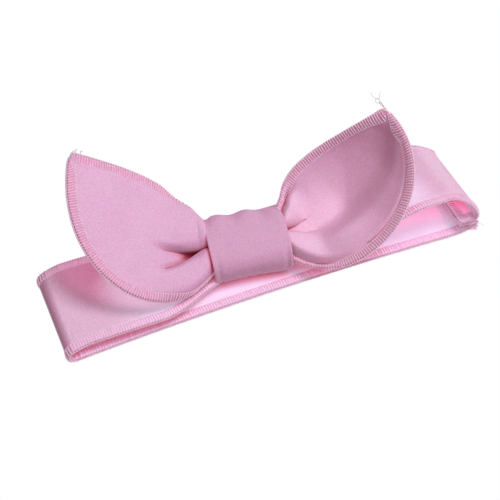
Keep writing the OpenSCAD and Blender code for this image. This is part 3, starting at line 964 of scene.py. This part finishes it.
def painted_crease_shade(tree, under):
    """Painted shade: deep rose in creases, where other cloth closes in, but much weaker under an overlock,
    where the threads themselves make shade.
    """
    crease = ramp(tree, occlusion(tree, CREASE_REACH), PAINTED_CREASE_SHADE_STOPS)
    weaker = tree.nodes.new("ShaderNodeMath")
    weaker.operation = "MULTIPLY"
    tree.links.new(under, weaker.inputs[0])
    weaker.inputs[1].default_value = 0.6
    return blended(tree, "MIX", weaker.outputs[0], crease, (*WHITE, 1))


def painted_key_shade(tree, shade):
    """Painted shade: deeper colour where the cloth looks away from the key light; shade is how much of it
    shows.
    """
    facing = tree.nodes.new("ShaderNodeVectorMath")
    facing.operation = "DOT_PRODUCT"
    tree.links.new(tree.nodes.new("ShaderNodeNewGeometry").outputs["Normal"], facing.inputs[0])
    facing.inputs[1].default_value = direction(*KEY_LIGHT)
    tint = ramp(tree, facing.outputs["Value"], PAINTED_KEY_SHADE_STOPS)
    return blended(tree, "MIX", shade, (*WHITE, 1), tint)


def with_painted_shade_and_glow(tree, colour, under, painted_shade_stops, shade):
    """colour with painted shade in creases, away from the key light and close to other cloth, and the
    painted glow that stands in for light bounced between the cloths of the loop."""
    crease = painted_crease_shade(tree, under)
    inside = occlusion(tree, INSIDE_REACH)
    tints = (crease, painted_key_shade(tree, shade), ramp(tree, inside, painted_shade_stops))
    for tint in tints:
        colour = blended(tree, "MULTIPLY", 1.0, colour, tint)
    return colour, blended(tree, "MULTIPLY", 1.0, ramp(tree, inside, PAINTED_GLOW_STOPS), crease)


def let_light_through(material, share):
    """Cloth casts a thin tinted shadow: a share of the light passes each of its faces."""
    clear = material.node_tree.nodes.new("ShaderNodeBsdfTransparent")
    clear.inputs["Color"].default_value = (*share, 1)
    swap_for_rays(material, "Is Shadow Ray", clear.outputs["BSDF"])


def crepe(name, light, dark, glow_share, painted_shade_stops=BOW_PAINTED_SHADE_STOPS, shade=1.0):
    """Double crepe: fine pebbled grain, faint mottling, soft sheen, and light passing through it, with
    painted shade and a painted glow.
    """
    material, tree, shader, place = new_material(name)
    grain = noise(tree, place, 1600, 3, 0.6)
    weave = noise(tree, place, 900, 2, 0.5)
    mottle = noise(tree, place, 70)
    speckle = ramp(tree, grain, [(0.38, dark), (0.58, light)])
    cloud = ramp(tree, mottle, [(0.35, (0.97, 0.955, 0.965)), (0.65, WHITE)])
    colour = blended(tree, "MULTIPLY", 1.0, speckle, cloud)
    under = tree.nodes.new("ShaderNodeAttribute")
    under.attribute_name = UNDER_THREAD
    # Painted shade: the cloth under an overlock is made a darker pink
    colour = blended(tree, "MULTIPLY", under.outputs["Fac"], colour, (1, 0.84, 0.92, 1))
    colour, glow = with_painted_shade_and_glow(tree, colour, under.outputs["Fac"], painted_shade_stops, shade)
    tree.links.new(colour, shader.inputs["Base Color"])
    # Painted glow: the glow colour is emitted at this panel's share
    tree.links.new(glow, shader.inputs["Emission Color"])
    set_inputs(shader, CREPE_FINISH)
    shader.inputs["Emission Strength"].default_value = glow_share
    height = blended(tree, "MIX", 0.35, grain, weave)
    add_bump(tree, shader, height, 0.5, 0.00022)
    let_light_through(material, (0.80, 0.46, 0.57))
    return material


def yarn(name, light, dark):
    """Woolly overlock thread: fibrous, matt, with a light and a shaded strand, and a faint painted glow of
    its own colour.
    """
    material, tree, shader, place = new_material(name)
    fibre = noise(tree, place, 4200, 4, 0.7)
    strand = noise(tree, place, 420, 2)
    strand_colour = ramp(tree, strand, [(0.3, dark), (0.7, light)])
    fibre_shade = ramp(tree, fibre, [(0.3, (0.86, 0.82, 0.85)), (0.65, WHITE)])
    colour = blended(tree, "MULTIPLY", 1.0, strand_colour, fibre_shade)
    tree.links.new(colour, shader.inputs["Base Color"])
    # Painted glow: the thread's own colour is emitted faintly
    tree.links.new(colour, shader.inputs["Emission Color"])
    set_inputs(shader, YARN_FINISH_AND_GLOW)
    add_bump(tree, shader, fibre, 0.7, 0.0001)
    return material


def floor_material():
    """Pale floor that catches soft shadows in its light but looks plain white to the camera."""
    material, tree, shader, place = new_material("studio_white")
    tone = noise(tree, place, 9)
    grey = ramp(tree, tone, [(0.3, (0.93, 0.93, 0.93)), (0.7, (0.95, 0.95, 0.95))])
    tree.links.new(grey, shader.inputs["Base Color"])
    shader.inputs["Roughness"].default_value = 0.9
    white = tree.nodes.new("ShaderNodeEmission")
    white.inputs["Strength"].default_value = 1.0
    swap_for_rays(material, "Is Camera Ray", white.outputs["Emission"])
    return material


# Light and dark colour of each panel's grain, its share of the painted glow, and how much painted key shade
# it shows; all panels are one crepe, and the knot's and the left ear's darker colours are painted shade
LOOP_CREPE = crepe("blush_crepe_loop", (0.87, 0.62, 0.815), (0.76, 0.50, 0.70), 1.0, LOOP_PAINTED_SHADE_STOPS)
LEFT_CREPE = crepe("blush_crepe_left_ear", (0.82, 0.53, 0.755), (0.71, 0.41, 0.635), 0.3, shade=0.85)
RIGHT_CREPE = crepe("blush_crepe_right_ear", (0.88, 0.61, 0.81), (0.77, 0.48, 0.69), 0.4, shade=0.75)
KNOT_CREPE = crepe("blush_crepe_knot", (0.75, 0.46, 0.665), (0.65, 0.36, 0.565), 0.3, shade=0.4)
THREAD = yarn("blush_overlock_thread", (0.88, 0.64, 0.80), (0.80, 0.52, 0.70))
LOOSE_THREAD = yarn("pale_loose_thread", (0.62, 0.55, 0.60), (0.50, 0.42, 0.48))


# ---------- build ----------
def stands_for(piece, finish, *nodes):
    """Hides the CAD nodes that a piece takes the place of; piece and finish are not used."""
    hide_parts(*nodes)


def build_loop(rng):
    cloth = loop_cloth(LOOP_CREPE)
    plies = [f"{half}_{ply}_ply" for half in ("front", "back") for ply in ("outer", "inner")]
    stands_for(cloth, "crepe_face_ply", *plies)
    bend_with_loop(cloth)
    for side, end in ((-1, "near"), (1, "far")):
        edge = loop_overlock(f"{end}_overlock_thread", side, THREAD, rng)
        stands_for(edge, "overlock_thread", f"front_{end}_overlock", f"back_{end}_overlock")
        bend_with_loop(edge)


def build_rigid(pieces):
    """Pieces that each ride on one body: (piece, its CAD node, body, finish)."""
    for piece, node, body, finish in pieces:
        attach(piece, body)
        stands_for(piece, finish, node)


def build_knot():
    build_rigid([(knot_cloth(KNOT_CREPE), "knot_wrap", "front_half", "crepe_face_ply"),
                 (knot_stitches(THREAD), "knot_closing_stitches", "front_half", "sewing_thread"),
                 (waist_cloth(KNOT_CREPE), "bow_waist", "front_half", "crepe_face_ply"),
                 (waist_thread(THREAD), "waist_gathering_thread", "front_half", "sewing_thread")])


def build_ear(name, ear, panel, rng):
    cloth = ear_cloth(f"{name}_cloth", ear, panel)
    stands_for(cloth, "crepe_face_ply", f"{name}_front_ply", f"{name}_back_ply")
    bend_with_ear(cloth)
    edge = ear_overlock(f"{name}_overlock_thread", ear, THREAD, rng)
    stands_for(edge, "overlock_thread", f"{name}_overlock")
    bend_with_ear(edge)


def build_loose_threads(rng):
    """The closing seam's overlock and the threads left hanging there and at the ears' tips."""
    build_rigid([(seam_overlock(THREAD, rng), "closing_seam_overlock", "front_half", "overlock_thread"),
                 (seam_tail(THREAD, rng), "closing_seam_thread_tail", "front_half", "sewing_thread"),
                 (left_tip_fuzz(LOOSE_THREAD, rng), "left_tip_thread_tail", "left_ear", "sewing_thread"),
                 (right_tip_chain(LOOSE_THREAD), "right_tip_thread_tail", "right_ear", "sewing_thread")])


def build_stage():
    """A square floor of 6 m, just under the band."""
    rows, half_size, drop = 24, 3000, 0.15
    f = np.linspace(-1, 1, rows)
    x, y = np.meshgrid(f * half_size, f * half_size, indexing="ij")
    points = np.stack([x, y, -drop - 0 * x], -1)
    quads = grid_quads(rows, rows, False, False)
    floor = make_piece("studio_floor", points.reshape(-1, 3), quads.tolist(), floor_material())


# ---------- light and camera ----------
def look_at(thing, target, azimuth, elevation, distance):
    """Put a light or the camera so far from a target, in metres, looking at it."""
    towards = direction(azimuth, elevation)
    thing.location = target + towards * distance
    thing.rotation_mode = "QUATERNION"
    thing.rotation_quaternion = towards.to_track_quat("Z", "Y")


def area_light(name, azimuth, elevation, distance, size, power):
    """A round soft light that looks at the origin; distance and size in metres, power in watts."""
    data = bpy.data.lights.new(name, "AREA")
    data.shape = "DISK"
    data.size = size
    data.energy = power
    look_at(add_object(name, data), Vector(), azimuth, elevation, distance)


def build_lights():
    world = bpy.data.worlds.new("studio")
    world.use_nodes = True
    set_inputs(world.node_tree.nodes["Background"], {"Color": (1, 0.80, 0.79, 1), "Strength": 0.34})
    bpy.context.scene.world = world
    area_light("key", *KEY_LIGHT, distance=1.0, size=0.36, power=6.2)
    area_light("fill", -10, 70, distance=1.2, size=0.8, power=0.8)


def build_camera():
    """A camera at the photo's viewing angle, 0.8 m from a point near the knot."""
    data = bpy.data.cameras.new("photo_view")
    data.sensor_width = 36
    data.lens = 107.7
    camera = add_object("photo_view", data)
    look_at(camera, Vector((-3.3, 4.3, 2.0)) * MM, -21.5, 55, distance=0.8)
    bpy.context.scene.camera = camera


bpy.context.scene.view_settings.view_transform = "Standard"
thread_random = np.random.default_rng(11)
build_loop(thread_random)
build_knot()
build_ear("left_ear", LEFT_EAR, LEFT_CREPE, thread_random)
build_ear("right_ear", RIGHT_EAR, RIGHT_CREPE, thread_random)
build_loose_threads(thread_random)
build_stage()
build_lights()
build_camera()

bpy.context.view_layer.update()
